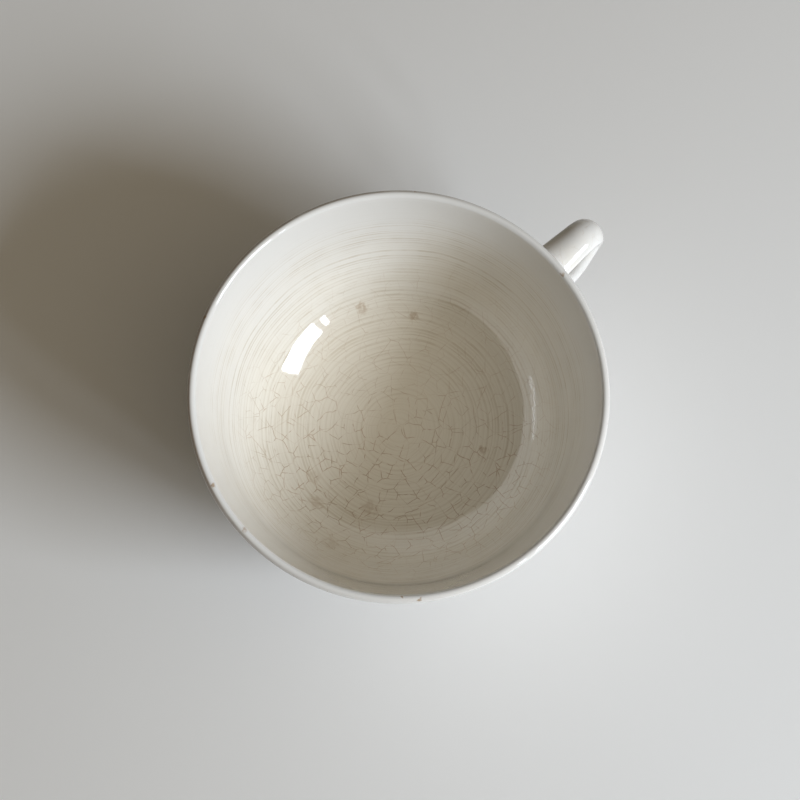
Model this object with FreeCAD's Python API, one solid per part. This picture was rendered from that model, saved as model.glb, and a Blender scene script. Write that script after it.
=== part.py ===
import FreeCAD, Part

import math
import os

# A wide, round-bottomed, handled teacup of glazed white earthenware, in millimetres.
# +Z runs up the cup's axis, the handle stands out along +X, and the origin is the centre of
# the flat land that the cup rests on.  Heights are counted from the table.
#
# The clay body is a bowl, a foot ring and a strap handle, stuck together with slip.  Glass
# coats cover the inside, the outside, the handle and the recess under the cup.  The sizes
# below are those of the finished, glazed cup; the bare clay lies one glaze thickness deeper.

# Bowl
RIM_RADIUS = 53.0             # to the outside of the lip
BOWL_DEPTH = 50.0             # from the crown of the lip to the lowest point inside
LIP_THICKNESS = 2.2           # a full round over this wall
FLOOR_THICKNESS = 4.6         # at the centre, where the wall is thickest
INNER_LEAN = 12.3             # degrees that the straight wall opens outwards, inside
OUTER_LEAN = 11.3             # and outside, so that the wall thickens on its way down
INNER_BEND_RADIUS = 29.0      # where the wall rounds into the floor, inside
OUTER_BEND_RADIUS = 31.0      # and outside
INNER_DISH_RADIUS = 65.0      # the floor's shallow dish, inside
OUTER_DISH_RADIUS = 78.0      # and the bowl's underside
GLAZE_THICKNESS = 0.25

# Foot ring
FOOT_RADIUS = 26.5            # at the foot's widest, just above the table
FOOT_FLARE = 0.8              # how far the foot draws in from there to its waist
FOOT_WALL = 2.6               # at the waist
FOOT_HEIGHT = 3.4             # from the table to the underside of the bowl at the centre
OUTER_COVE_RADIUS = 4.0       # where the foot flows into the bowl outside
INNER_COVE_RADIUS = 1.5       # and inside the recess
LAND_ROUND = 0.8              # rounds each side of the flat land
GLAZE_LINE = 1.5              # the glaze stops here, above the dry land
JOINT_BELOW_COVE = 0.6        # the ring is stuck on this far below the inner cove

# Handle
STRAP_WIDTH = 8.4             # along most of the loop
ROOT_WIDTH = 9.8              # where the strap meets the bowl
BEND_WIDTH = 7.5              # at the outer bend
STRAP_THICKNESS = 4.4
STRAP_CROWN = 0.5             # share of the thickness that the outer face's curve takes
STRAP_EDGE_ROUND = 0.42       # and that the round corners of the inner face take
HANDLE_REACH = 16.4           # from the outside of the lip to the outside of the bend
TOP_GAP = 2.7                 # from the crown of the lip down to the strap's face at its root
TOP_RISE = 5.0                # degrees that the top strap climbs on its way out
BEND_RADIUS = 6.0             # centre line of the outer bend
RETURN_LEAN = 22.0            # degrees that the return leans in under the top strap
RETURN_RADIUS = 13.0          # centre line of the lower bend
LOOP_HEIGHT = 26.5            # between the strap's centre lines at its two roots
LOWER_CORNER_LIFT = 1.8       # how far the lower bend's corner lies above the lower root
SLIP_THICKNESS = 0.8          # luting slip between the strap's ends and the bowl
SLIP_BEAD = 0.5               # slip squeezed out around the strap

ORIGIN = FreeCAD.Vector(0, 0, 0)
UP = FreeCAD.Vector(0, 0, 1)
ACROSS = FreeCAD.Vector(0, 1, 0)


def on_plane(radius, height):
    """A point of the XZ plane, where every outline is drawn."""
    return FreeCAD.Vector(radius, 0, height)


def bend_centre(lip_side, lean, bend_radius, dish_centre, dish_radius):
    """The centre of the arc that touches a straight leaning wall and the dish under it.

    The wall touches the lip's round at lip_side from the round's centre, counted outwards.
    """
    wall_normal = on_plane(math.cos(math.radians(lean)), -math.sin(math.radians(lean)))
    down_wall = on_plane(wall_normal.z, -wall_normal.x)
    beside_lip = lip_centre + wall_normal * (lip_side - bend_radius)
    from_dish = beside_lip - dish_centre
    along = from_dish.dot(down_wall)
    reach = (dish_radius - bend_radius) ** 2 - from_dish.dot(from_dish) + along ** 2
    return beside_lip + down_wall * (math.sqrt(reach) - along)


def under_dish(across, cove_radius):
    """The centre of a cove that touches the bowl's underside at a distance from the axis."""
    drop = math.sqrt((OUTER_DISH_RADIUS + cove_radius) ** 2 - across ** 2)
    return on_plane(across, outer_dish.z - drop)


# Centres of the bowl's arcs.  The lip is a round as thick as the wall there.  Inside and
# outside, a straight leaning wall leaves the lip, rounds a bend and runs into a shallow dish.
rim_height = FOOT_HEIGHT + FLOOR_THICKNESS + BOWL_DEPTH
lip_radius = LIP_THICKNESS / 2
lip_centre = on_plane(RIM_RADIUS - lip_radius, rim_height - lip_radius)
inner_dish = on_plane(0, FOOT_HEIGHT + FLOOR_THICKNESS + INNER_DISH_RADIUS)
outer_dish = on_plane(0, FOOT_HEIGHT + OUTER_DISH_RADIUS)
inner_bend = bend_centre(-lip_radius, INNER_LEAN, INNER_BEND_RADIUS, inner_dish, INNER_DISH_RADIUS)
outer_bend = bend_centre(lip_radius, OUTER_LEAN, OUTER_BEND_RADIUS, outer_dish, OUTER_DISH_RADIUS)

# Centres and radii of the foot's arcs.  Both coves touch the bowl's underside.  The outside
# of the foot is a shallow hollow that starts upright under the cove and ends at the full
# radius.
waist_radius = FOOT_RADIUS - FOOT_FLARE
recess_radius = waist_radius - FOOT_WALL
outer_cove = under_dish(waist_radius + OUTER_COVE_RADIUS, OUTER_COVE_RADIUS)
inner_cove = under_dish(recess_radius - INNER_COVE_RADIUS, INNER_COVE_RADIUS)
flare_height = outer_cove.z - LAND_ROUND
hollow_radius = (FOOT_FLARE ** 2 + flare_height ** 2) / (2 * FOOT_FLARE)
hollow_centre = on_plane(waist_radius + hollow_radius, outer_cove.z)
joint_height = inner_cove.z - JOINT_BELOW_COVE


def towards(centre, target):
    """The angle in degrees, from +X, at which target lies from centre in the XZ plane."""
    return math.degrees(math.atan2(target.z - centre.z, target.x - centre.x))


def on_circle(centre, radius, angle):
    """The point of a circle in the XZ plane at an angle in degrees from +X."""
    turn = math.radians(angle)
    return on_plane(centre.x + radius * math.cos(turn), centre.z + radius * math.sin(turn))


def arc(centre, radius, start, end):
    """An arc in the XZ plane between two angles in degrees."""
    middle = on_circle(centre, radius, (start + end) / 2)
    return Part.Arc(on_circle(centre, radius, start), middle, on_circle(centre, radius, end)).toShape()


def line(start, end):
    return Part.makeLine(start, end)


def start_of(edges):
    return edges[0].valueAt(edges[0].FirstParameter)


def end_of(edges):
    return edges[-1].valueAt(edges[-1].LastParameter)


def spin(*runs):
    """Join runs of edges, end to start, into one outline and turn it round the cup's axis."""
    outline = []
    for run, following in zip(runs, runs[1:] + runs[:1]):
        outline += run
        outline.append(line(end_of(run), start_of(following)))
    return turned_solid(outline)


def turned_solid(outline):
    face = Part.Face(Part.Wire(Part.__sortEdges__(outline)))
    return face.revolve(ORIGIN, UP, 360)


def hollow_angle(radius, height):
    """Where the foot's hollow reaches a height, as an angle from the hollow's centre."""
    return 180 + math.degrees(math.asin((hollow_centre.z - height) / radius))


def inside_edges(depth):
    """The inside, from the axis up to the crown of the lip, at a depth under the glaze's surface."""
    bend_angle = towards(inner_dish, inner_bend)
    bend = arc(inner_bend, INNER_BEND_RADIUS + depth, bend_angle, -INNER_LEAN)
    lip = arc(lip_centre, lip_radius - depth, 180 - INNER_LEAN, 90)
    return [
        arc(inner_dish, INNER_DISH_RADIUS + depth, -90, bend_angle),
        bend,
        line(end_of([bend]), start_of([lip])),
        lip,
    ]


def outside_edges(depth, bottom):
    """The outside, from the crown of the lip down the bowl, the cove and the foot."""
    bend_angle = towards(outer_dish, outer_bend)
    cove_angle = towards(outer_dish, outer_cove)
    foot_radius = hollow_radius + depth
    lip = arc(lip_centre, lip_radius - depth, 90, -OUTER_LEAN)
    bend = arc(outer_bend, OUTER_BEND_RADIUS - depth, -OUTER_LEAN, bend_angle)
    return [
        lip,
        line(end_of([lip]), start_of([bend])),
        bend,
        arc(outer_dish, OUTER_DISH_RADIUS - depth, bend_angle, cove_angle),
        arc(outer_cove, OUTER_COVE_RADIUS + depth, cove_angle + 180, 180),
        arc(hollow_centre, foot_radius, 180, hollow_angle(foot_radius, bottom)),
    ]


def underside_edges(depth, bottom):
    """The recess, from its wall inside the foot up to the axis under the bowl."""
    cove_angle = towards(outer_dish, inner_cove)
    wall = recess_radius + depth
    return [
        line(on_plane(wall, bottom), on_plane(wall, inner_cove.z)),
        arc(inner_cove, INNER_COVE_RADIUS + depth, 0, cove_angle + 180),
        arc(outer_dish, OUTER_DISH_RADIUS - depth, cove_angle, -90),
    ]


def make_bowl():
    """The clay wall and floor, down to the flat ring where the foot is stuck on."""
    wall = inside_edges(GLAZE_THICKNESS) + outside_edges(GLAZE_THICKNESS, joint_height)
    return spin(wall, underside_edges(GLAZE_THICKNESS, joint_height))


def make_foot_ring():
    """The clay ring under the bowl, with a flat dry land between two rounds."""
    bare = hollow_radius + GLAZE_THICKNESS
    side = arc(hollow_centre, bare, hollow_angle(bare, joint_height), hollow_angle(bare, LAND_ROUND))
    foot_edge = end_of([side]).x
    recess_wall = recess_radius + GLAZE_THICKNESS
    outer_round = on_plane(foot_edge - LAND_ROUND, LAND_ROUND)
    inner_round = on_plane(recess_wall + LAND_ROUND, LAND_ROUND)
    return spin([
        side,
        arc(outer_round, LAND_ROUND, 0, -90),
        line(on_plane(outer_round.x, 0), on_plane(inner_round.x, 0)),
        arc(inner_round, LAND_ROUND, -90, -180),
        line(on_plane(recess_wall, LAND_ROUND), on_plane(recess_wall, joint_height)),
    ])


def make_coat(run, *place):
    """A glass coat: the space between a run of edges at the surface and the same at the clay."""
    surface = run(0, *place)
    clay = run(GLAZE_THICKNESS, *place)
    ends = [line(start_of(surface), start_of(clay)), line(end_of(surface), end_of(clay))]
    return turned_solid(surface + clay + ends)


def rounded_route(corners, radii):
    """A wire through straight runs, with a tangent arc in place of each inner corner."""
    edges = []
    last = corners[0]
    for before, corner, after, radius in zip(corners, corners[1:], corners[2:], radii):
        arriving = (before - corner).normalize()
        leaving = (after - corner).normalize()
        half_turn = arriving.getAngle(leaving) / 2
        tangent = radius / math.tan(half_turn)
        bisector = (arriving + leaving).normalize()
        middle = corner + bisector * (radius / math.sin(half_turn) - radius)
        edges.append(line(last, corner + arriving * tangent))
        edges.append(Part.Arc(corner + arriving * tangent, middle, corner + leaving * tangent).toShape())
        last = corner + leaving * tangent
    edges.append(line(last, corners[-1]))
    return Part.Wire(edges)


def wall_at(height):
    """The point of the bowl's outside at a height."""
    level = line(on_plane(0, height), on_plane(RIM_RADIUS, height))
    touching = Part.Wire(outside_edges(0, joint_height)).distToShape(level)[1]
    return touching[0][0]


def handle_route():
    """The strap's centre line, from inside the wall below the lip round to inside the belly."""
    rise = math.radians(TOP_RISE)
    lean = math.radians(RETURN_LEAN)
    outward = on_plane(math.cos(rise), math.sin(rise))
    downward = on_plane(-math.sin(lean), -math.cos(lean))
    top_height = rim_height - TOP_GAP - STRAP_THICKNESS / 2
    top_root = wall_at(top_height)
    to_shoulder = BEND_RADIUS * math.tan(outward.getAngle(downward) / 2)
    bend_centre_x = RIM_RADIUS + HANDLE_REACH - STRAP_THICKNESS / 2 - BEND_RADIUS
    shoulder_x = bend_centre_x - BEND_RADIUS * math.sin(rise) + to_shoulder * math.cos(rise)
    shoulder = top_root + outward * ((shoulder_x - top_root.x) / outward.x)
    root_height = top_height - LOOP_HEIGHT
    corner_height = root_height + LOWER_CORNER_LIFT
    corner = shoulder + downward * ((corner_height - shoulder.z) / downward.z)
    lower_root = wall_at(root_height)
    start = top_root - outward * STRAP_THICKNESS
    end = lower_root + (lower_root - corner).normalize() * STRAP_THICKNESS
    return rounded_route([start, shoulder, corner, end], [BEND_RADIUS, RETURN_RADIUS])


def strap_section(place, outward, width, grow):
    """The strap's section: crowned outside, and with large round corners inside."""
    half = width / 2 + grow
    bottom = -STRAP_THICKNESS / 2 - grow
    top = STRAP_THICKNESS / 2 + grow
    shoulder = top - STRAP_CROWN * STRAP_THICKNESS
    corner = STRAP_EDGE_ROUND * STRAP_THICKNESS + grow
    diagonal = corner * (1 - math.sqrt(0.5))

    def at(across, out):
        return place + ACROSS * across + outward * out

    def bend(first, middle, last):
        return Part.Arc(at(*first), at(*middle), at(*last)).toShape()

    return Part.Wire([
        line(at(corner - half, bottom), at(half - corner, bottom)),
        bend((half - corner, bottom), (half - diagonal, bottom + diagonal), (half, bottom + corner)),
        line(at(half, bottom + corner), at(half, shoulder)),
        bend((half, shoulder), (0, top), (-half, shoulder)),
        line(at(-half, shoulder), at(-half, bottom + corner)),
        bend((-half, bottom + corner), (diagonal - half, bottom + diagonal), (corner - half, bottom)),
    ])


def make_strap(grow):
    """The whole strap, swept along its route and grown all round its section."""
    route = handle_route()
    sweep = Part.BRepOffsetAPI.MakePipeShell(route)
    sweep.setBiNormalMode(ACROSS)
    widths = [ROOT_WIDTH, STRAP_WIDTH, BEND_WIDTH, STRAP_WIDTH, STRAP_WIDTH, ROOT_WIDTH]
    stations = [(edge, edge.FirstParameter) for edge in route.OrderedEdges]
    last_edge = route.OrderedEdges[-1]
    stations.append((last_edge, last_edge.LastParameter))
    for (edge, place), width in zip(stations, widths):
        outward = edge.tangentAt(place).cross(ACROSS)
        sweep.add(strap_section(edge.valueAt(place), outward, width, grow), False, False)
    sweep.build()
    sweep.makeSolid()
    return sweep.shape()


def filled_bowl(depth):
    """A solid with the bowl's outside, at a depth under the glaze's surface, and no hollow."""
    axis = line(on_plane(0, joint_height), on_plane(0, rim_height - depth))
    return spin(outside_edges(depth, joint_height), [axis])


def make_nodes():
    bowl = make_bowl()
    bowl_and_slip = filled_bowl(GLAZE_THICKNESS - SLIP_THICKNESS)
    slip_layer = bowl_and_slip.cut(filled_bowl(GLAZE_THICKNESS))
    handle = make_strap(0).cut(bowl_and_slip)
    joints = make_strap(SLIP_BEAD).common(slip_layer).cut(bowl)
    upper_joint, lower_joint = sorted(joints.Solids, key=lambda solid: -solid.CenterOfMass.z)
    exterior = make_coat(outside_edges, GLAZE_LINE)
    return {
        "bowl": bowl,
        "foot_ring": make_foot_ring(),
        "handle": handle,
        "upper_joint_slip": upper_joint,
        "lower_joint_slip": lower_joint,
        "interior_glaze": make_coat(inside_edges),
        "exterior_glaze": exterior.cut(joints),
        "handle_glaze": make_strap(GLAZE_THICKNESS).cut(bowl_and_slip).cut(handle),
        "base_glaze": make_coat(underside_edges, GLAZE_LINE),
    }


def main():
    os.makedirs("parts", exist_ok=True)
    for name, shape in make_nodes().items():
        shape.exportStep("parts/" + name + ".step")


main()
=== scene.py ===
"""A white glazed teacup: its glaze coats, slip joints, fired clay and a studio to see it in."""
import math

import bmesh
import bpy
from mathutils import Matrix, Vector


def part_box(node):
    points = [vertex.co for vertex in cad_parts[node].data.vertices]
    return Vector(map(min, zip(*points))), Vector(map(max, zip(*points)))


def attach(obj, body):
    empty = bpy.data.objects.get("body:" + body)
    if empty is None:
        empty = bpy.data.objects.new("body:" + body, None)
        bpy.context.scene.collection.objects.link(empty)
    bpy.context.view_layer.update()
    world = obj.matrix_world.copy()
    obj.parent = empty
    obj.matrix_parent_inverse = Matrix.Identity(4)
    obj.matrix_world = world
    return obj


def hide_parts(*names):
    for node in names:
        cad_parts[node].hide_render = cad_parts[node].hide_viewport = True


bl_info = {
    "name": "Glazed Teacup",
    "version": (1, 0, 0),
    "blender": (4, 5, 0),
    "location": "View3D > Sidebar > Teacup",
    "description": "Glazes, joins and lights a white teacup around its clay frame",
    "category": "Object",
}

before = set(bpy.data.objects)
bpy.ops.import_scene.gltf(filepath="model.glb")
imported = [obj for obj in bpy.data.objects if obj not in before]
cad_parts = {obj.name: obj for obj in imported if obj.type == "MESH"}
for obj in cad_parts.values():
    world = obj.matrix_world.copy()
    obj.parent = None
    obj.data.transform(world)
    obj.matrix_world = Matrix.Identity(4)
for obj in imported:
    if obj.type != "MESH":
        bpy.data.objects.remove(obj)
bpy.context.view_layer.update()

MM = 0.001
QUARTER_TURN = math.pi / 2
RIM_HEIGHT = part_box("interior_glaze")[1].z
AROUND = 256                  # steps round the cup's axis
MERGE_GAP = 0.001 * MM        # vertices closer than this are one


# ---------------------------------------------------------------- sizes and colours


def length(name, description, default):
    return bpy.props.FloatProperty(
        name=name, description=description, default=default, min=0, subtype="DISTANCE",
        unit="LENGTH")


def angle(name, description, degrees):
    return bpy.props.FloatProperty(
        name=name, description=description, default=math.radians(degrees), subtype="ANGLE",
        unit="ROTATION")


def colour(name, description, default):
    return bpy.props.FloatVectorProperty(
        name=name, description=description, default=default, size=3, min=0, max=1, subtype="COLOR")


def share(name, description, default):
    return bpy.props.FloatProperty(
        name=name, description=description, default=default, min=0, max=1, subtype="FACTOR")


class CupSizes(bpy.types.PropertyGroup):
    """Sizes of the glazed bowl and its foot, at the surface of the glaze."""
    rim_radius: length("Rim radius", "From the axis to the outside of the lip", 53.0 * MM)
    lip_thickness: length("Lip thickness", "The lip is a full round over this wall", 2.2 * MM)
    inner_lean: angle("Inner lean", "How far the straight wall opens outwards, inside", 12.3)
    outer_lean: angle("Outer lean", "How far the straight wall opens outwards, outside", 11.3)
    inner_bend: length("Inner bend", "Radius of the bend from wall to floor, inside", 29.0 * MM)
    outer_bend: length("Outer bend", "Radius of the bend from wall to floor, outside", 31.0 * MM)
    inner_dish: length("Inner dish", "Radius of the floor's shallow dish", 65.0 * MM)
    outer_dish: length("Outer dish", "Radius of the bowl's underside", 78.0 * MM)
    floor_height: length("Floor height", "Lowest point inside, above the table", 8.0 * MM)
    underside_height: length("Underside height", "Middle of the underside, off the table", 3.4 * MM)
    foot_radius: length("Foot radius", "The foot at its widest", 26.5 * MM)
    foot_flare: length("Foot flare", "How far the foot draws in to its waist", 0.8 * MM)
    foot_wall: length("Foot wall", "Thickness of the foot at its waist", 2.6 * MM)
    outer_cove: length("Outer cove", "Radius where the foot flows into the bowl", 4.0 * MM)
    inner_cove: length("Inner cove", "Radius inside the recess under the cup", 1.5 * MM)
    land_round: length("Land round", "Rounds each side of the foot's flat land", 0.8 * MM)
    glaze_line: length("Glaze line", "The glaze stops this high above the table", 1.5 * MM)
    glaze: length("Glaze thickness", "Thickness of every glaze coat", 0.25 * MM)


class HandleSizes(bpy.types.PropertyGroup):
    """Sizes of the strap handle in bare clay."""
    strap_width: length("Strap width", "Width along most of the loop", 8.4 * MM)
    root_width: length("Root width", "Width where the strap meets the bowl", 9.8 * MM)
    bend_width: length("Bend width", "Width at the outer bend", 7.5 * MM)
    strap_thickness: length("Strap thickness", "Through the middle of the strap", 4.4 * MM)
    strap_crown: share("Strap crown", "Share of the thickness in the outer face's curve", 0.5)
    edge_round: share("Edge round", "Share of the thickness in the inner corners", 0.42)
    reach: length("Reach", "From the outside of the lip to the outside of the bend", 16.4 * MM)
    top_gap: length("Top gap", "From the crown of the lip down to the strap", 2.7 * MM)
    top_rise: angle("Top rise", "How steeply the top strap climbs", 5.0)
    bend_radius: length("Bend radius", "Centre line of the outer bend", 6.0 * MM)
    return_lean: angle("Return lean", "How far the return leans in", 22.0)
    return_radius: length("Return radius", "Centre line of the lower bend", 13.0 * MM)
    loop_height: length("Loop height", "Between the two roots", 26.5 * MM)
    corner_lift: length("Corner lift", "The lower corner above the lower root", 1.8 * MM)
    slip_bead: length("Slip bead", "Width of the slip smoothed round each root", 1.1 * MM)


class Finish(bpy.types.PropertyGroup):
    """Colours of the glaze, the clay, the stains and the studio."""
    glaze_white: colour("Glaze", "Clean glaze near the rim", (0.93, 0.925, 0.91))
    glaze_cream: colour("Aged glaze", "Glaze in the well of the cup", (0.94, 0.89, 0.785))
    ring_tan: colour("Ring stain", "Tea held in the throwing rings", (0.50, 0.40, 0.25))
    crack_brown: colour("Crack stain", "Tea held in the crazing", (0.45, 0.26, 0.12))
    # The tan of a thin line along the lip's outer edge, strongest on the side away from the window.
    lip_tan: colour("Lip tan line", "A tan line along the lip's outer edge", (0.46, 0.36, 0.28))
    blotch_brown: colour("Blotch", "Brown spots and chips", (0.42, 0.27, 0.14))
    clay_buff: colour("Clay", "Bare fired clay", (0.60, 0.53, 0.42))
    table_grey: colour("Table", "The pale table top", (0.88, 0.88, 0.88))
    crazing: share("Crazing", "How dark the crazing is", 0.85)
    rings: share("Rings", "How dark the throwing rings are", 0.36)


# ---------------------------------------------------------------- drawing outlines


class Pen:
    """Draws an outline into a bmesh in the XZ plane, one run after another."""

    def __init__(self, mesh, start):
        self.mesh = mesh
        self.tip = mesh.verts.new(start)

    def turn(self, centre, turned, steps):
        """Go round a centre by an angle, anticlockwise with X to the right and Z up."""
        made = bmesh.ops.spin(
            self.mesh, geom=[self.tip], cent=centre, axis=(0, -1, 0), angle=turned, steps=steps,
            use_merge=False, use_normal_flip=False, use_duplicate=False)
        self.tip = next(part for part in made["geom_last"] if isinstance(part, bmesh.types.BMVert))

    def run(self, place, steps=1):
        """Go straight to a place."""
        stride = (Vector(place) - self.tip.co) / steps
        for _ in range(steps):
            made = bmesh.ops.extrude_vert_indiv(self.mesh, verts=[self.tip])
            self.tip = made["verts"][0]
            bmesh.ops.translate(self.mesh, verts=[self.tip], vec=stride)


def across(radius, height):
    return Vector((radius, 0, height))


def heading(start, end):
    """The angle from +X to the way from start to end, in the XZ plane."""
    return math.atan2(end.z - start.z, end.x - start.x)


def on_circle(centre, radius, turned):
    return centre + across(math.cos(turned), math.sin(turned)) * radius


# How many steps each stretch of the two outlines has.
FLOOR_STEPS = 30
BEND_STEPS = 26
WALL_STEPS = 14
LIP_STEPS = 14
UNDER_STEPS = 2
COVE_STEPS = 10
FOOT_STEPS = 5
INNER_FOOT_STEPS = 4
INNER_COVE_STEPS = 8
RECESS_STEPS = 20


class CupOutline:
    """The bowl's and the foot's arcs, worked out from the sizes."""

    def __init__(self, sizes):
        self.sizes = sizes
        self.lip_radius = sizes.lip_thickness / 2
        self.lip = across(sizes.rim_radius - self.lip_radius, RIM_HEIGHT - self.lip_radius)
        self.inner_dish = across(0, sizes.floor_height + sizes.inner_dish)
        self.outer_dish = across(0, sizes.underside_height + sizes.outer_dish)
        self.inner_bend = self.bend_centre(
            -self.lip_radius, sizes.inner_lean, sizes.inner_bend, self.inner_dish, sizes.inner_dish)
        self.outer_bend = self.bend_centre(
            self.lip_radius, sizes.outer_lean, sizes.outer_bend, self.outer_dish, sizes.outer_dish)
        self.waist = sizes.foot_radius - sizes.foot_flare
        self.recess = self.waist - sizes.foot_wall
        self.outer_cove = self.under_dish(self.waist + sizes.outer_cove, sizes.outer_cove)
        self.inner_cove = self.under_dish(self.recess - sizes.inner_cove, sizes.inner_cove)
        flare_height = self.outer_cove.z - sizes.land_round
        self.hollow_radius = (sizes.foot_flare ** 2 + flare_height ** 2) / (2 * sizes.foot_flare)
        self.hollow = across(self.waist + self.hollow_radius, self.outer_cove.z)

    def bend_centre(self, lip_side, lean, bend_radius, dish_centre, dish_radius):
        """The centre of the arc that touches a leaning wall and the dish under it."""
        wall_normal = across(math.cos(lean), -math.sin(lean))
        down_wall = across(wall_normal.z, -wall_normal.x)
        beside_lip = self.lip + wall_normal * (lip_side - bend_radius)
        from_dish = beside_lip - dish_centre
        along = from_dish.dot(down_wall)
        reach = (dish_radius - bend_radius) ** 2 - from_dish.length_squared + along ** 2
        return beside_lip + down_wall * (math.sqrt(reach) - along)

    def under_dish(self, distance, cove_radius):
        """The centre of a cove that touches the underside at a distance from the axis."""
        drop = math.sqrt((self.sizes.outer_dish + cove_radius) ** 2 - distance ** 2)
        return across(distance, self.outer_dish.z - drop)

    def draw_bowl(self, mesh):
        """From the middle of the floor, over the lip and down to the glaze line on the foot."""
        sizes = self.sizes
        pen = Pen(mesh, across(0, sizes.floor_height))
        floor_turn = heading(self.inner_dish, self.inner_bend) + QUARTER_TURN
        pen.turn(self.inner_dish, floor_turn, FLOOR_STEPS)
        pen.turn(self.inner_bend, QUARTER_TURN - sizes.inner_lean - floor_turn, BEND_STEPS)
        pen.run(on_circle(self.lip, self.lip_radius, math.pi - sizes.inner_lean), WALL_STEPS)
        pen.turn(self.lip, sizes.inner_lean - sizes.outer_lean - math.pi, LIP_STEPS)
        pen.run(on_circle(self.outer_bend, sizes.outer_bend, -sizes.outer_lean), WALL_STEPS)
        bend_end = heading(self.outer_dish, self.outer_bend)
        pen.turn(self.outer_bend, bend_end + sizes.outer_lean, BEND_STEPS)
        cove_start = heading(self.outer_dish, self.outer_cove)
        pen.turn(self.outer_dish, cove_start - bend_end, UNDER_STEPS)
        pen.turn(self.outer_cove, -cove_start, COVE_STEPS)
        drop = (self.hollow.z - sizes.glaze_line) / self.hollow_radius
        pen.turn(self.hollow, math.asin(drop), FOOT_STEPS)

    def draw_recess(self, mesh):
        """From the glaze line inside the foot up to the middle of the underside."""
        pen = Pen(mesh, across(self.recess, self.sizes.glaze_line))
        pen.run(across(self.recess, self.inner_cove.z), INNER_FOOT_STEPS)
        cove_end = heading(self.outer_dish, self.inner_cove)
        pen.turn(self.inner_cove, cove_end + math.pi, INNER_COVE_STEPS)
        pen.turn(self.outer_dish, -QUARTER_TURN - cove_end, RECESS_STEPS)

    def wall_radius(self, height):
        """The outside's distance from the axis at a height above the foot."""
        lean = self.sizes.outer_lean
        wall_foot = on_circle(self.outer_bend, self.sizes.outer_bend, -lean)
        if height > wall_foot.z:
            return wall_foot.x + (height - wall_foot.z) * math.tan(lean)
        drop = self.outer_bend.z - height
        return self.outer_bend.x + math.sqrt(self.sizes.outer_bend ** 2 - drop ** 2)


# ---------------------------------------------------------------- making pieces


def lathe(mesh):
    """Turn the outline in a bmesh round the cup's axis."""
    bmesh.ops.spin(
        mesh, geom=mesh.verts[:] + mesh.edges[:], cent=(0, 0, 0), axis=(0, 0, 1),
        angle=2 * math.pi, steps=AROUND, use_merge=True, use_normal_flip=False, use_duplicate=False)
    bmesh.ops.remove_doubles(mesh, verts=mesh.verts[:], dist=MERGE_GAP)
    bmesh.ops.recalc_face_normals(mesh, faces=mesh.faces[:])


def mark_run(mesh):
    """Store how far each vertex lies from the outline's start, in millimetres, before turning."""
    layer = mesh.verts.layers.float.new("run")
    mesh.verts.ensure_lookup_table()
    travelled = 0.0
    last = mesh.verts[0]
    for vertex in mesh.verts:
        travelled += (vertex.co - last.co).length / MM
        vertex[layer] = travelled
        last = vertex


def face_towards(mesh, place, direction):
    """Turn an open surface over unless the face nearest a place looks the given way."""
    nearest = min(mesh.faces, key=lambda face: (face.calc_center_median() - place).length)
    if nearest.normal.dot(direction) < 0:
        bmesh.ops.reverse_faces(mesh, faces=mesh.faces[:])


def make_piece(name, mesh, material, slot, *nodes):
    """Make an object of a bmesh that stands for CAD nodes and rides on the cup."""
    data = bpy.data.meshes.new(name)
    mesh.to_mesh(data)
    mesh.free()
    data.polygons.foreach_set("use_smooth", [True] * len(data.polygons))
    data.materials.append(material)
    piece = bpy.data.objects.new(name, data)
    bpy.context.scene.collection.objects.link(piece)
    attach(piece, "root")
    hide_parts(*nodes)
    return piece


def give_thickness(piece, thickness):
    """Let a coat of glaze reach down to the clay."""
    coat = piece.modifiers.new("Coat", "SOLIDIFY")
    coat.thickness = thickness
    coat.offset = -1
    coat.use_even_offset = True


# ---------------------------------------------------------------- shader recipes


class Value:
    """A socket in a material; arithmetic on it adds Math nodes."""

    def __init__(self, recipe, socket):
        self.recipe = recipe
        self.socket = socket

    def __add__(self, other):
        return self.recipe.math("ADD", self, other)

    __radd__ = __add__

    def __sub__(self, other):
        return self.recipe.math("SUBTRACT", self, other)

    def __rsub__(self, other):
        return self.recipe.math("SUBTRACT", other, self)

    def __mul__(self, other):
        return self.recipe.math("MULTIPLY", self, other)

    __rmul__ = __mul__

    def __truediv__(self, other):
        return self.recipe.math("DIVIDE", self, other)

    def __rtruediv__(self, other):
        return self.recipe.math("DIVIDE", other, self)

    def __pow__(self, other):
        return self.recipe.math("POWER", self, other)

    def __rpow__(self, other):
        return self.recipe.math("POWER", other, self)


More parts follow.
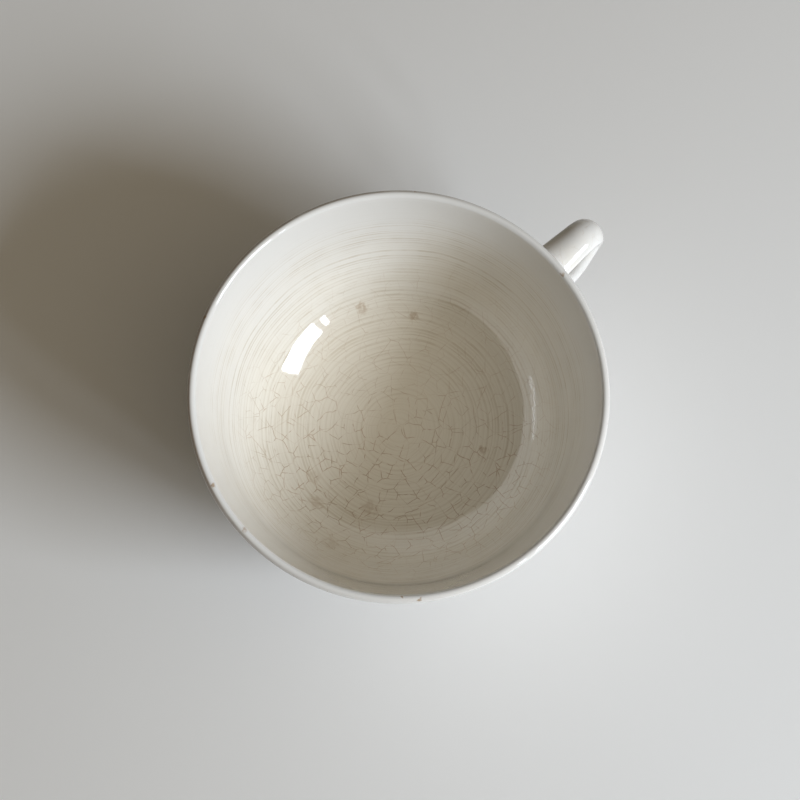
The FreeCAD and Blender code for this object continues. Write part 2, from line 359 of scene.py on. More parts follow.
class Recipe:
    """A material's node tree, written one node at a time."""

    def __init__(self, name, tree=None):
        if tree is None:
            self.material = bpy.data.materials.new(name)
            self.material.use_nodes = True
            tree = self.material.node_tree
        self.tree = tree
        self.tree.nodes.clear()

    def node(self, kind, settings=None, inputs=None, output=0):
        """Add a node, its settings first and its sockets' values after, and return an output."""
        made = self.tree.nodes.new(kind)
        for name, setting in (settings or {}).items():
            setattr(made, name, setting)
        for name, value in (inputs or {}).items():
            socket = made.inputs[name] if isinstance(name, int) else self.named(made.inputs, name)
            if isinstance(value, Value):
                self.tree.links.new(value.socket, socket)
            else:
                socket.default_value = value
        if not made.outputs:
            return None
        if isinstance(output, int):
            return Value(self, made.outputs[output])
        return Value(self, self.named(made.outputs, output))

    @staticmethod
    def named(sockets, name):
        return next(socket for socket in sockets if name in (socket.identifier, socket.name))

    def math(self, operation, *values):
        return self.node("ShaderNodeMath", {"operation": operation}, dict(enumerate(values)))

    def place(self, scale=1000.0):
        """Where a point of the piece lies, in millimetres unless scaled otherwise."""
        coordinates = self.node("ShaderNodeTexCoord", output="Object")
        return self.node("ShaderNodeVectorMath", {"operation": "SCALE"},
                         {"Vector": coordinates, "Scale": scale})

    def parts_of(self, vector):
        """The X, Y and Z of a vector."""
        split = self.node("ShaderNodeSeparateXYZ", inputs={"Vector": vector})
        return [Value(self, socket) for socket in split.socket.node.outputs]

    def noise(self, vector, scale, detail=2.0, roughness=0.5):
        """Cloudy noise from 0 to 1, with the scale in clouds to a millimetre."""
        return self.node(
            "ShaderNodeTexNoise", {"noise_dimensions": "3D"},
            {"Vector": vector, "Scale": scale, "Detail": detail, "Roughness": roughness})

    def line_noise(self, value, scale):
        """Noise along one number, so that each value of it has one shade."""
        return self.node("ShaderNodeTexNoise", {"noise_dimensions": "1D"},
                         {"W": value, "Scale": scale, "Detail": 1.0})

    def warp(self, vector, scale, reach):
        """A place moved about by noise, so that a pattern on it doesn't run straight."""
        drift = self.node("ShaderNodeTexNoise", {"noise_dimensions": "3D"},
                          {"Vector": vector, "Scale": scale, "Detail": 3.0}, "Color")
        centred = self.node("ShaderNodeVectorMath", {"operation": "SUBTRACT"},
                            {0: drift, 1: (0.5, 0.5, 0.5)})
        scaled = self.node("ShaderNodeVectorMath", {"operation": "SCALE"},
                           {"Vector": centred, "Scale": reach})
        return self.node("ShaderNodeVectorMath", {"operation": "ADD"}, {0: vector, 1: scaled})

    def rise(self, value, low, high):
        """0 below low, 1 above high and smooth between; low may be the larger."""
        return self.node("ShaderNodeMapRange", {"interpolation_type": "SMOOTHSTEP"},
                         {"Value": value, "From Min": low, "From Max": high})

    def cracks(self, vector, cell, width, dimensions="2D"):
        """Lines of a width between cells of a size: 1 on a line and 0 off it."""
        edge = self.node("ShaderNodeTexVoronoi",
                         {"feature": "DISTANCE_TO_EDGE", "voronoi_dimensions": dimensions},
                         {"Vector": vector, "Scale": 1 / cell, "Randomness": 1.0})
        return self.rise(edge * cell, width, width * 0.25)

    def spot(self, vector, centre, radius):
        """1 in a round spot at a place in millimetres, soft at its edge."""
        distance = self.node("ShaderNodeVectorMath", {"operation": "DISTANCE"},
                             {0: vector, 1: centre}, "Value")
        return self.rise(distance, radius, radius * 0.45)

    def mix(self, factor, first, second):
        """Two colours mixed."""
        return self.node(
            "ShaderNodeMix", {"data_type": "RGBA"},
            {"Factor_Float": factor, "A_Color": first, "B_Color": second}, "Result_Color")

    def bump(self, height, distance, normal=None):
        """A surface raised by up to a distance in metres, on top of another bump if given."""
        inputs = {"Height": height, "Distance": distance, "Strength": 1.0}
        if normal:
            inputs["Normal"] = normal
        return self.node("ShaderNodeBump", inputs=inputs)

    def surface(self, **inputs):
        """The material's surface, with underscores in place of the spaces in its sockets' names."""
        named = {name.replace("_", " "): value for name, value in inputs.items()}
        shader = self.node("ShaderNodeBsdfPrincipled", inputs=named)
        self.node("ShaderNodeOutputMaterial", inputs={"Surface": shader})
        return self.material


def solid(rgb):
    return (*rgb, 1.0)


def along(x, y, bearing):
    """How far a place lies from the axis towards a bearing."""
    return x * math.cos(bearing) + y * math.sin(bearing)


def bowl_spot(outline, bearing, radius):
    """A place inside the bowl, in mm, by its bearing from the handle and its distance out."""
    turned = math.radians(bearing)
    sizes = outline.sizes
    bend_start = heading(outline.inner_dish, outline.inner_bend)
    dish_edge = on_circle(outline.inner_dish, sizes.inner_dish, bend_start).x / MM
    if radius < dish_edge:
        height = outline.inner_dish.z - math.sqrt(sizes.inner_dish ** 2 - (radius * MM) ** 2)
    else:
        out = radius * MM - outline.inner_bend.x
        height = outline.inner_bend.z - math.sqrt(max(sizes.inner_bend ** 2 - out ** 2, 0))
    return radius * math.cos(turned), radius * math.sin(turned), height / MM


# Each blotch in the well: bearing in degrees, distance out and size in mm, and depth of colour.
BLOTCHES = [
    (65.8, 34, 2.2, 0.5), (40.9, 31, 1.9, 0.45), (-177.6, 31, 2.8, 0.32), (-150.6, 24, 3.2, 0.3),
    (-57.1, 24, 1.4, 0.45), (41.4, 48, 0.9, 0.45), (-160.0, 38, 2.8, 0.22), (170.0, 27, 2.4, 0.2),
]
# Each chip on the lip: bearing in degrees, distance out and size in mm.
LIP_CHIPS = [
    (117.1, 52.6, 0.75), (166.0, 51.4, 0.8), (-178.9, 51.3, 0.8), (-125.9, 52.3, 0.75),
    (-130.6, 51.6, 0.5), (44.7, 52.6, 0.45), (43.4, 52.6, 0.35), (57.5, 52.7, 0.5),
    (-5.3, 51.6, 0.7),
]
CHIP_DEPTH = 0.8
CHIP_DROP = 0.2                        # the chips' middles lie this far below the crown, in mm
TAN_LINE_SIDE = math.radians(110)          # the lip's tan line is strongest on this side, away from the window
CRAZED_SIDE = math.radians(-140)       # the crazing is thickest here

# Where features lie, in mm along the wall from the middle of the floor.
STAIN_FULL, STAIN_END = 30, 76
CALM_CENTRE, CALM_END = 4, 34          # the rings are fainter in the middle
RING_FULL, RING_END = 62, 75
CRAZING_FULL, CRAZING_END = 32, 56
INSIDE_FADE, INSIDE_END = 82.0, 82.6
TAN_LINE_RUN, TAN_LINE_CORE, TAN_LINE_EDGE = 82.6, 0.45, 1.0

STAIN_DRIFT = 26                       # how far the stain's edge wanders, in mm
RING_DRIFT, RING_WOBBLE = 2.4, 0.5     # and the rings, slowly and quickly
RINGS_PER_MM = 1.35
RING_DEPTH = 0.003 * MM
WAVE_DEPTH = 0.15 * MM                 # the whole surface's slow unevenness

# The crazing: the size of a net's cells and the width of its lines, in mm.
NET_CELL, NET_LINE = 7.0, 0.14
WEB_CELL, WEB_LINE = 4.0, 0.13
OUTER_CELL, OUTER_LINE = 5.0, 0.10
STRAP_CELL, STRAP_LINE = 4.6, 0.10

AXIS_GAP = 0.01                        # keeps the unrolled pattern whole on the axis, in mm
GLAZE_IOR = 1.6
THIN_GLAZE_IOR = 1.5


class BowlGlaze:
    """The cup's ivory glaze: tea-stained throwing rings, crazing, blotches and a tan line along the
    lip.
    """

    def __init__(self, finish, outline):
        self.finish, self.outline = finish, outline
        self.recipe = recipe = Recipe("bowl_glaze")
        self.place = recipe.place()
        self.run = recipe.node("ShaderNodeAttribute", {"attribute_name": "run"}, output="Fac")
        self.inside = recipe.rise(self.run, INSIDE_END, INSIDE_FADE)
        self.drift = recipe.noise(self.place, 0.035, 3.0)
        self.patches = recipe.noise(self.place, 0.11, 3.0)
        self.fine = recipe.noise(self.place, 0.9, 4.0)
        self.ragged = recipe.warp(self.place, 0.6, 2.2)
        self.x, self.y, _ = recipe.parts_of(self.place)

    def ground(self):
        """Old tea stains the well and fades out on the upper wall."""
        edge = self.run + (self.drift - 0.5) * STAIN_DRIFT
        well = self.recipe.rise(edge, STAIN_END, STAIN_FULL) * self.inside
        return self.recipe.mix(well, solid(self.finish.glaze_white), solid(self.finish.glaze_cream))

    def ring(self):
        """Fine throwing rings, unevenly spaced and broken here and there."""
        recipe = self.recipe
        wander = self.run + (self.drift - 0.5) * RING_DRIFT + (self.patches - 0.5) * RING_WOBBLE
        line = recipe.rise(recipe.line_noise(wander, RINGS_PER_MM), 0.42, 0.70)
        broken = recipe.rise(recipe.noise(self.place, 0.16, 3.0), 0.40, 0.66) * 0.55 + 0.45
        centre = recipe.rise(self.run, CALM_CENTRE, CALM_END) * 0.5 + 0.5
        return line * broken * centre * recipe.rise(self.run, RING_END, RING_FULL) * self.inside

    def crazing(self):
        """A faint net over the well, a finer web on its crazed side, and a few cracks outside."""
        recipe = self.recipe
        out = recipe.math("SQRT", self.x * self.x + self.y * self.y)
        out = recipe.math("MAXIMUM", out, AXIS_GAP)
        flat = recipe.node("ShaderNodeCombineXYZ", inputs={
            "X": self.x * self.run / out, "Y": self.y * self.run / out})
        coarse = recipe.cracks(recipe.warp(flat, 0.12, 2.6), NET_CELL, NET_LINE)
        small = recipe.cracks(recipe.warp(flat, 0.3, 1.4), WEB_CELL, WEB_LINE)
        dark = recipe.rise(recipe.noise(flat, 0.23, 2.0), 0.50, 0.60)
        dark_small = recipe.rise(recipe.noise(flat, 0.31, 2.0), 0.46, 0.55)
        well = recipe.rise(self.run, CRAZING_END, CRAZING_FULL) * self.inside
        side = recipe.rise(along(self.x, self.y, CRAZED_SIDE), -22, 12)
        net = coarse * (dark * 0.6 + 0.2) * (well * 0.85 + 0.08) * (side * 0.5 + 0.5)
        web = small * (dark_small * 0.7 + 0.12) * well * (side * 0.75 + 0.25)
        outer = recipe.cracks(recipe.warp(self.place, 0.25, 2.2), OUTER_CELL, OUTER_LINE, "3D")
        outer = outer * (1 - self.inside) * (dark * 0.15 + 0.07)
        return recipe.math("MAXIMUM", recipe.math("MAXIMUM", net, web), outer)

    def stain(self, base, centre, size, depth):
        """A ragged blotch where tea got under the glaze."""
        mark = self.recipe.spot(self.ragged, centre, size) * self.recipe.rise(self.fine, 0.25, 0.6)
        return self.recipe.mix(mark * depth, base, solid(self.finish.blotch_brown))

    def lip_tan_line(self, base):
        """A thin tan line along the lip's outer edge, strongest on the side away from the window.
        """
        recipe = self.recipe
        off_line = recipe.math("ABSOLUTE", self.run - TAN_LINE_RUN)
        tan_side = recipe.rise(along(self.x, self.y, TAN_LINE_SIDE), 5, 40)
        patchy = recipe.rise(self.patches, 0.1, 0.5)
        tan_line_mask = recipe.rise(off_line, TAN_LINE_EDGE, TAN_LINE_CORE) * (tan_side * 0.8 + 0.1) * patchy
        return recipe.mix(tan_line_mask * 0.85, base, solid(self.finish.lip_tan))

    def build(self):
        """Lay the stains over each other and return the material."""
        recipe, finish = self.recipe, self.finish
        ring, crack = self.ring(), self.crazing()
        base = recipe.mix(ring * finish.rings, self.ground(), solid(finish.ring_tan))
        tone = recipe.mix(recipe.rise(self.patches, 0.4, 0.6), solid(finish.crack_brown),
                          solid(finish.blotch_brown))
        base = recipe.mix(crack * finish.crazing, base, tone)
        for bearing, radius, size, depth in BLOTCHES:
            base = self.stain(base, bowl_spot(self.outline, bearing, radius), size, depth)
        base = self.lip_tan_line(base)
        for bearing, radius, size in LIP_CHIPS:
            turned = math.radians(bearing)
            height = RIM_HEIGHT / MM - CHIP_DROP
            centre = (radius * math.cos(turned), radius * math.sin(turned), height)
            base = self.stain(base, centre, size, CHIP_DEPTH)

        dirt = recipe.rise(self.fine, 0.2, 0.8)
        uneven = recipe.bump(recipe.noise(self.place, 0.05, 2.0), WAVE_DEPTH)
        rippled = recipe.bump(ring, RING_DEPTH, uneven)
        return recipe.surface(
            Base_Color=base, Roughness=0.035 + dirt * 0.02 + crack * 0.1, Normal=rippled,
            IOR=GLAZE_IOR, Coat_Weight=0.8, Coat_Roughness=0.03, Coat_IOR=THIN_GLAZE_IOR)


def plain_glaze(finish, name, stain):
    """Glossy white glaze with faint crazing and patches of stain."""
    recipe = Recipe(name)
    place = recipe.place()
    patches = recipe.noise(place, 0.13, 3.0)
    fine = recipe.noise(place, 0.9, 4.0)
    base = recipe.mix(recipe.rise(patches, 0.35, 0.75) * stain, solid(finish.glaze_white),
                      solid(finish.glaze_cream))
    warped = recipe.warp(place, 0.25, 2.2)
    gaps = recipe.rise(recipe.noise(place, 0.3, 2.0), 0.45, 0.6)
    crack = recipe.cracks(warped, STRAP_CELL, STRAP_LINE, "3D") * gaps
    base = recipe.mix(crack * 0.15, base, solid(finish.crack_brown))
    roughness = 0.06 + recipe.rise(fine, 0.2, 0.8) * 0.05 + crack * 0.2
    uneven = recipe.bump(patches, 0.12 * MM)
    cracked = recipe.bump(1 - crack, 0.015 * MM, uneven)
    return recipe.surface(
        Base_Color=base, Roughness=roughness, Normal=cracked, IOR=THIN_GLAZE_IOR,
        Coat_Weight=0.3, Coat_Roughness=0.04, Coat_IOR=THIN_GLAZE_IOR)


def fired_clay(finish):
    """Matt buff earthenware with a fine grain and darker specks."""
    recipe = Recipe("fired_clay")
    place = recipe.place()
    grain = recipe.noise(place, 2.4, 6.0, 0.7)
    cloud = recipe.noise(place, 0.2, 3.0)
    specks = recipe.rise(recipe.noise(place, 1.6, 2.0), 0.68, 0.74)
    base = recipe.mix(cloud, solid(finish.clay_buff), solid(finish.glaze_cream))
    base = recipe.mix(specks * 0.6, base, solid(finish.crack_brown))
    bumped = recipe.bump(grain, 0.05 * MM)
    return recipe.surface(
        Base_Color=base, Roughness=0.7 + grain * 0.25, Normal=bumped, IOR=THIN_GLAZE_IOR)


def stained_slip(finish):
    """Glazed slip with a brown stain held along the crevice."""
    recipe = Recipe("stained_slip")
    place = recipe.place()
    gather = recipe.node("ShaderNodeAttribute", {"attribute_name": "crevice"}, output="Fac")
    patches = recipe.noise(place, 0.5, 3.0)
    stain = recipe.rise(gather * (patches + 0.4), 0.2, 0.6) * 0.85
    base = recipe.mix(stain, solid(finish.glaze_white), solid(finish.blotch_brown))
    bumped = recipe.bump(recipe.noise(place, 1.2, 3.0), 0.04 * MM)
    return recipe.surface(
        Base_Color=base, Roughness=0.16 + patches * 0.2, Normal=bumped, IOR=THIN_GLAZE_IOR,
        Coat_Weight=0.5, Coat_Roughness=0.08)


def table_top(finish):
    """A smooth painted table with the faintest unevenness."""
    recipe = Recipe("table_top")
    place = recipe.place(1.0)
    cloud = recipe.noise(place, 3.0, 3.0)
    grain = recipe.noise(place, 420.0, 3.0)
    lighter = tuple(min(1.0, part * 1.04) for part in finish.table_grey)
    base = recipe.mix(cloud, solid(finish.table_grey), solid(lighter))
    bumped = recipe.bump(grain, 0.02 * MM)
    return recipe.surface(Base_Color=base, Roughness=0.5 + cloud * 0.08, Normal=bumped)


# ---------------------------------------------------------------- the strap handle


SUNK_START = 1.5 * MM         # how far the strap's ends reach into the bowl's wall
SUNK_END = 2.2 * MM
LEG_STEPS = 8
TURN_STEPS = 24
FACE_STEPS = 8
CORNER_STEPS = 6
CROWN_STEPS = 12
SHARP_ANGLE = math.radians(30)
SHARP_ROUND = 0.35 * MM
ROUNDING_STEPS = 3


class StrapRoute:
    """The handle's centre line: three straight runs and the bends between them."""

    def __init__(self, sizes, outline):
        rise, lean = sizes.top_rise, sizes.return_lean
        outward = across(math.cos(rise), math.sin(rise))
        downward = across(-math.sin(lean), -math.cos(lean))
        top_height = RIM_HEIGHT - sizes.top_gap - sizes.strap_thickness / 2
        top_root = across(outline.wall_radius(top_height), top_height)
        to_shoulder = sizes.bend_radius * math.tan(outward.angle(downward) / 2)
        outermost = outline.sizes.rim_radius + sizes.reach - sizes.strap_thickness / 2
        bend_x = outermost - sizes.bend_radius
        shoulder_x = bend_x - sizes.bend_radius * math.sin(rise) + to_shoulder * math.cos(rise)
        shoulder = top_root + outward * ((shoulder_x - top_root.x) / outward.x)
        root_height = top_height - sizes.loop_height
        corner = shoulder + downward * ((root_height + sizes.corner_lift - shoulder.z) / downward.z)
        lower_root = across(outline.wall_radius(root_height), root_height)
        homeward = (lower_root - corner).normalized()
        self.rise = rise
        self.start = top_root - outward * SUNK_START
        self.top_root, self.outward = top_root, outward
        self.lower_root, self.homeward = lower_root, homeward
        self.legs = [
            (outward, shoulder, downward, sizes.bend_radius),
            (downward, corner, homeward, sizes.return_radius),
        ]
        self.end = lower_root + homeward * SUNK_END

    def moves(self):
        """Yield each leg of the route as (steps, a matrix for one step)."""
        at = self.start
        for arriving, corner, leaving, radius in self.legs:
            turned = arriving.angle(leaving)
            tangent = radius * math.tan(turned / 2)
            bend_start = corner - arriving * tangent
            yield self.straight(at, bend_start)
            inward = across(arriving.z, -arriving.x)
            centre = bend_start + inward * radius
            turn = Matrix.Rotation(turned / TURN_STEPS, 4, "Y")
            yield TURN_STEPS, Matrix.Translation(centre) @ turn @ Matrix.Translation(-centre)
            at = corner + leaving * tangent
        yield self.straight(at, self.end)

    @staticmethod
    def straight(start, end):
        return LEG_STEPS, Matrix.Translation((end - start) / LEG_STEPS)


def strap_section(mesh, sizes, grow):
    """Draw the strap's section round the origin: flat below, crowned above, in the YZ plane."""
    half = sizes.strap_width / 2 + grow
    below = -sizes.strap_thickness / 2 - grow
    above = sizes.strap_thickness / 2 + grow
    corner = sizes.edge_round * sizes.strap_thickness + grow
    crown = sizes.strap_crown * sizes.strap_thickness
    crown_radius = (half ** 2 + crown ** 2) / (2 * crown)
    crown_turn = math.asin(half / crown_radius)
    shoulder = above - crown
    pen = Pen(mesh, across(corner - half, below))
    pen.run(across(half - corner, below), FACE_STEPS)
    pen.turn(across(half - corner, below + corner), QUARTER_TURN, CORNER_STEPS)
    pen.run(across(half, shoulder))
    pen.turn(across(0, above - crown_radius), 2 * crown_turn, CROWN_STEPS)
    pen.run(across(-half, below + corner))
    pen.turn(across(corner - half, below + corner), QUARTER_TURN, CORNER_STEPS)
    bmesh.ops.remove_doubles(mesh, verts=mesh.verts[:], dist=MERGE_GAP)
    bmesh.ops.rotate(mesh, verts=mesh.verts[:], cent=(0, 0, 0),
                     matrix=Matrix.Rotation(QUARTER_TURN, 3, "Z"))


def sweep_strap(mesh, sizes, route):
    """Draw the section at the route's start and extrude it along the route."""
    widths = [sizes.root_width, sizes.strap_width, sizes.bend_width, sizes.strap_width,
              sizes.strap_width, sizes.root_width]
    bmesh.ops.scale(mesh, verts=mesh.verts[:], vec=(1, widths[0] / sizes.strap_width, 1))
    tilt = Matrix.Translation(route.start) @ Matrix.Rotation(-route.rise, 4, "Y")
    bmesh.ops.transform(mesh, matrix=tilt, verts=mesh.verts[:])
    ring = mesh.edges[:]
    for (steps, move), before, after in zip(route.moves(), widths, widths[1:]):
        last_width = before
        for step in range(1, steps + 1):
            width = before + (after - before) * step / steps
            made = bmesh.ops.extrude_edge_only(mesh, edges=ring)["geom"]
            verts = [part for part in made if isinstance(part, bmesh.types.BMVert)]
            new = set(verts)
            ring = [part for part in made
                    if isinstance(part, bmesh.types.BMEdge) and set(part.verts) <= new]
            bmesh.ops.transform(mesh, matrix=move, verts=verts)
            bmesh.ops.scale(mesh, verts=verts, vec=(1, width / last_width, 1))
            last_width = width


def round_sharp_edges(mesh):
    """Soften the two edges between the strap's sides and its crown."""
    sharp = [edge for edge in mesh.edges
             if len(edge.link_faces) == 2 and edge.calc_face_angle() > SHARP_ANGLE]
    bmesh.ops.bevel(mesh, geom=sharp, offset=SHARP_ROUND, segments=ROUNDING_STEPS, profile=0.5,
                    affect="EDGES", material=-1)


BEAD_STEPS = 7
SLIP_SUNK = 0.5 * MM          # how far the slip reaches into the bowl's wall
SLIP_INSET = 0.3              # and into the strap, as a share of the bead


def bead_rows(bead):
    """Each row of a smoothed bead: its distance off the wall, and its spread as a share."""
    yield -SLIP_SUNK, 1.0
    for step in range(BEAD_STEPS + 1):
        turned = step / BEAD_STEPS * QUARTER_TURN
        yield bead * (1 - math.cos(turned)), 1 - math.sin(turned)
    yield bead, -SLIP_INSET
    yield -SLIP_SUNK, -SLIP_INSET


def collar(name, sizes, outline, root, way, material, node):
    """A bead of slip round one root of the strap, hollowed like a smoothed fillet."""
    mesh = bmesh.new()
    layer = mesh.verts.layers.float.new("crevice")
    bead = sizes.slip_bead
    tilt = Vector((1, 0, 0)).rotation_difference(way).to_matrix().to_4x4()
    loops = []
    for out, spread in bead_rows(bead):
        before = set(mesh.verts)
        ring_mesh = bmesh.new()
        strap_section(ring_mesh, sizes, outline.sizes.glaze + bead * spread)
        bmesh.ops.scale(ring_mesh, verts=ring_mesh.verts[:],
                        vec=(1, sizes.root_width / sizes.strap_width, 1))
        data = bpy.data.meshes.new("ring")
        ring_mesh.to_mesh(data)
        ring_mesh.free()
        mesh.from_mesh(data)
        bpy.data.meshes.remove(data)
        verts = [vertex for vertex in mesh.verts if vertex not in before]
        bmesh.ops.transform(mesh, matrix=Matrix.Translation(root) @ tilt, verts=verts)
        for vertex in verts:
            slide_to_wall(vertex, way, outline, out)
            vertex[layer] = 1 - abs(2 * min(max(spread, 0), 1) - 1) ** 2
        loops.append([edge for edge in mesh.edges if edge.verts[0] in set(verts)])
    for first, second in zip(loops, loops[1:] + loops[:1]):
        bmesh.ops.bridge_loops(mesh, edges=first + second)
    bmesh.ops.recalc_face_normals(mesh, faces=mesh.faces[:])
    return make_piece(name, mesh, material, "slip", node)


SLIDES = 6                    # a vertex has settled on the wall after this many


def slide_to_wall(vertex, way, outline, out):
    """Slide a vertex along the strap until it stands a distance out from the bowl's wall."""
    for _ in range(SLIDES):
        gap = math.hypot(vertex.co.x, vertex.co.y) - outline.wall_radius(vertex.co.z) - out
        vertex.co -= way * (gap / way.x)


# ---------------------------------------------------------------- operators


class TEACUP_OT_bowl_glaze(bpy.types.Operator):
    """Coat the bowl inside and out, from the floor over the lip down to the foot"""
    bl_idname = "teacup.bowl_glaze"
    bl_label = "Glaze the Bowl"

    def execute(self, context):
        scene = context.scene
        outline = CupOutline(scene.teacup_sizes)
        mesh = bmesh.new()
        outline.draw_bowl(mesh)
        mark_run(mesh)
        lathe(mesh)
        face_towards(mesh, across(0, outline.sizes.floor_height), Vector((0, 0, 1)))
        coat = make_piece("bowl_glaze", mesh, BowlGlaze(scene.teacup_finish, outline).build(),
                          "inner_glaze", "interior_glaze", "exterior_glaze")
        give_thickness(coat, outline.sizes.glaze)
        return {"FINISHED"}


class TEACUP_OT_recess_glaze(bpy.types.Operator):
    """Coat the recess inside the foot"""
    bl_idname = "teacup.recess_glaze"
    bl_label = "Glaze the Recess"

    def execute(self, context):
        scene = context.scene
        outline = CupOutline(scene.teacup_sizes)
        mesh = bmesh.new()
        outline.draw_recess(mesh)
        lathe(mesh)
        face_towards(mesh, across(0, outline.sizes.underside_height), Vector((0, 0, -1)))
        coat = make_piece("recess_glaze", mesh,
                          plain_glaze(scene.teacup_finish, "recess_glaze", 0.7),
                          "outer_glaze", "base_glaze")
        give_thickness(coat, outline.sizes.glaze)
        return {"FINISHED"}


class TEACUP_OT_handle_glaze(bpy.types.Operator):
    """Coat the strap handle"""
    bl_idname = "teacup.handle_glaze"
    bl_label = "Glaze the Handle"

    def execute(self, context):
        scene = context.scene
        sizes = scene.teacup_handle
        outline = CupOutline(scene.teacup_sizes)
        route = StrapRoute(sizes, outline)
        mesh = bmesh.new()
        strap_section(mesh, sizes, outline.sizes.glaze)
        sweep_strap(mesh, sizes, route)
        bmesh.ops.recalc_face_normals(mesh, faces=mesh.faces[:])
        top = across(route.top_root.x + sizes.reach / 2, RIM_HEIGHT)
        face_towards(mesh, top, Vector((0, 0, 1)))
        round_sharp_edges(mesh)
        coat = make_piece("handle_glaze_coat", mesh,
                          plain_glaze(scene.teacup_finish, "handle_glaze", 0.35),
                          "outer_glaze", "handle_glaze")
        give_thickness(coat, outline.sizes.glaze)
        return {"FINISHED"}


class TEACUP_OT_slip_joints(bpy.types.Operator):
    """Smooth slip round both roots of the handle"""
    bl_idname = "teacup.slip_joints"
    bl_label = "Smooth the Slip Joints"

    def execute(self, context):
        scene = context.scene
        sizes = scene.teacup_handle
        outline = CupOutline(scene.teacup_sizes)
        route = StrapRoute(sizes, outline)
        material = stained_slip(scene.teacup_finish)
        collar("upper_slip", sizes, outline, route.top_root, route.outward, material,
               "upper_joint_slip")
        collar("lower_slip", sizes, outline, route.lower_root, -route.homeward, material,
               "lower_joint_slip")
        return {"FINISHED"}


class TEACUP_OT_fired_clay(bpy.types.Operator):
    """Give the clay body, the foot and the strap their bare fired finish"""
    bl_idname = "teacup.fired_clay"
    bl_label = "Fire the Clay"

    def execute(self, context):
        material = fired_clay(context.scene.teacup_finish)
        for name in ("bowl", "foot_ring", "handle"):
            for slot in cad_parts[name].material_slots:
                slot.material = material
        return {"FINISHED"}


class TEACUP_OT_stage(bpy.types.Operator):
    """Set up the table, the lights and the camera"""
    bl_idname = "teacup.stage"
    bl_label = "Set the Stage"

    def execute(self, context):
        finish = context.scene.teacup_finish
        mesh = bmesh.new()
        bmesh.ops.create_grid(mesh, x_segments=1, y_segments=1, size=TABLE_HALF)
        data = bpy.data.meshes.new("table")
        mesh.to_mesh(data)
        mesh.free()
        data.materials.append(table_top(finish))
        table = bpy.data.objects.new("table", data)
        context.scene.collection.objects.link(table)
        light_stage(context.scene)
        set_camera(context.scene)
        return {"FINISHED"}


TABLE_HALF = 3.0
WINDOW_BEARING = -62
WINDOW_DISTANCE = 0.75
WINDOW_RADIANCE = 21.5
DAYLIGHT = (0.85, 0.92, 1.0)
# Each pane's left and right edge and its bottom and top, as shares of the window's distance.
PANES = {
    "window": ((-0.372, 0.125), (0.50, 0.92)),
    "side_pane": ((-0.53, -0.46), (0.58, 0.84)),
}
ROOM_GLOW = (1.0, 0.85, 0.62)
GLOW_BEARING, GLOW_RISE = -70, 55
GLOW_TIGHTNESS = 3
ROOM_DIM, ROOM_BRIGHT = 0.027, 0.54


def towards(bearing, elevation):
    """The way from the cup to a bearing from its handle and an elevation, both in degrees."""
    turned, raised = math.radians(bearing), math.radians(elevation)
    return Vector((math.cos(raised) * math.cos(turned), math.cos(raised) * math.sin(turned),
                   math.sin(raised)))


def window_pane(scene, name, edges, heights):
    """A pane of daylight in the window's upright plane, seen from the middle of the cup."""
    width = (edges[1] - edges[0]) * WINDOW_DISTANCE
    height = (heights[1] - heights[0]) * WINDOW_DISTANCE
    data = bpy.data.lights.new(name, "AREA")
    data.shape = "RECTANGLE"
    data.size = width
    data.size_y = height
    data.energy = WINDOW_RADIANCE * math.pi * width * height
    data.color = DAYLIGHT
    light = bpy.data.objects.new(name, data)
    outward, sideways = towards(WINDOW_BEARING, 0), towards(WINDOW_BEARING + 90, 0)
    middle = outward + sideways * sum(edges) / 2 + Vector((0, 0, sum(heights) / 2))
    light.location = middle * WINDOW_DISTANCE
    light.rotation_euler = outward.to_track_quat("Z", "Y").to_euler()
    scene.collection.objects.link(light)


def light_stage(scene):
    """A wide window with a narrow side pane, and soft warm light all round."""
    for name, (edges, heights) in PANES.items():
        window_pane(scene, name, edges, heights)
    world = bpy.data.worlds.new("room")
    world.use_nodes = True
    room = Recipe("room", world.node_tree)
    direction = room.node("ShaderNodeTexCoord", output="Generated")
    facing = room.node("ShaderNodeVectorMath", {"operation": "DOT_PRODUCT"},
                       {0: direction, 1: towards(GLOW_BEARING, GLOW_RISE)}, "Value")
    glow = room.math("MAXIMUM", facing, 0.0) ** GLOW_TIGHTNESS
    light = room.node("ShaderNodeBackground", inputs={
        "Color": solid(ROOM_GLOW), "Strength": ROOM_DIM + glow * ROOM_BRIGHT})
    room.node("ShaderNodeOutputWorld", inputs={"Surface": light})
    scene.world = world
    scene.view_settings.view_transform = "Standard"


CAMERA_TURN = -41.5
CAMERA_RISE = 77.8
CAMERA_DISTANCE = 0.450
AIM_RIGHT, AIM_DOWN = 0.40 * MM, 2.225 * MM
SENSOR = 36.0
LENS = 81.0


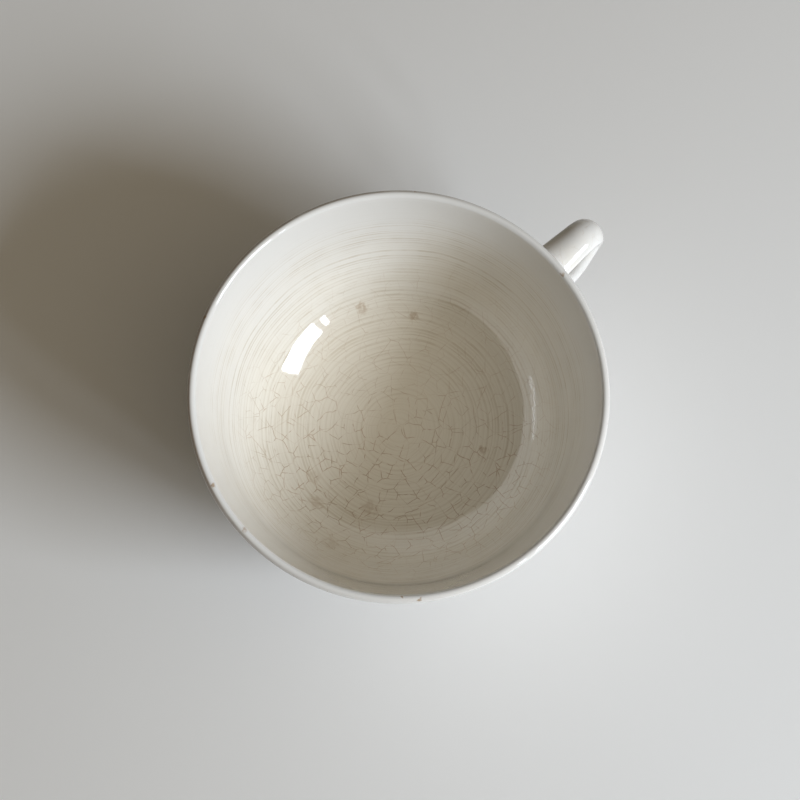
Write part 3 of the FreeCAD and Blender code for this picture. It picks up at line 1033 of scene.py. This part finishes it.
def set_camera(scene):
    """Look down into the cup, with the rim a little above the middle of the view."""
    turned, raised = math.radians(CAMERA_TURN), math.radians(CAMERA_RISE)
    right = Vector((math.cos(turned), math.sin(turned), 0))
    back = Vector((math.sin(turned) * math.cos(raised), -math.cos(turned) * math.cos(raised),
                   math.sin(raised)))
    up = back.cross(right)
    aim = across(0, RIM_HEIGHT) + right * AIM_RIGHT - up * AIM_DOWN
    camera = bpy.data.objects.new("camera", bpy.data.cameras.new("camera"))
    camera.data.sensor_width = SENSOR
    camera.data.lens = LENS
    turn = Matrix((right, up, back)).transposed().to_4x4()
    camera.matrix_world = Matrix.Translation(aim + back * CAMERA_DISTANCE) @ turn
    scene.collection.objects.link(camera)
    scene.camera = camera


class TEACUP_PT_panel(bpy.types.Panel):
    """The teacup's sizes, finishes and steps"""
    bl_idname = "TEACUP_PT_panel"
    bl_label = "Teacup"
    bl_space_type = "VIEW_3D"
    bl_region_type = "UI"
    bl_category = "Teacup"

    def draw(self, context):
        for step in STEPS:
            self.layout.operator(step.bl_idname)
        for group in (context.scene.teacup_sizes, context.scene.teacup_handle,
                      context.scene.teacup_finish):
            for name in group.__annotations__:
                self.layout.prop(group, name)


STEPS = (TEACUP_OT_fired_clay, TEACUP_OT_bowl_glaze, TEACUP_OT_recess_glaze, TEACUP_OT_handle_glaze,
         TEACUP_OT_slip_joints, TEACUP_OT_stage)
CLASSES = (CupSizes, HandleSizes, Finish, *STEPS, TEACUP_PT_panel)


def register():
    for each in CLASSES:
        bpy.utils.register_class(each)
    bpy.types.Scene.teacup_sizes = bpy.props.PointerProperty(type=CupSizes)
    bpy.types.Scene.teacup_handle = bpy.props.PointerProperty(type=HandleSizes)
    bpy.types.Scene.teacup_finish = bpy.props.PointerProperty(type=Finish)


def unregister():
    del bpy.types.Scene.teacup_finish
    del bpy.types.Scene.teacup_handle
    del bpy.types.Scene.teacup_sizes
    for each in reversed(CLASSES):
        bpy.utils.unregister_class(each)


def main():
    register()
    bpy.ops.teacup.fired_clay()
    bpy.ops.teacup.bowl_glaze()
    bpy.ops.teacup.recess_glaze()
    bpy.ops.teacup.handle_glaze()
    bpy.ops.teacup.slip_joints()
    bpy.ops.teacup.stage()


if __name__ == "__main__":
    main()
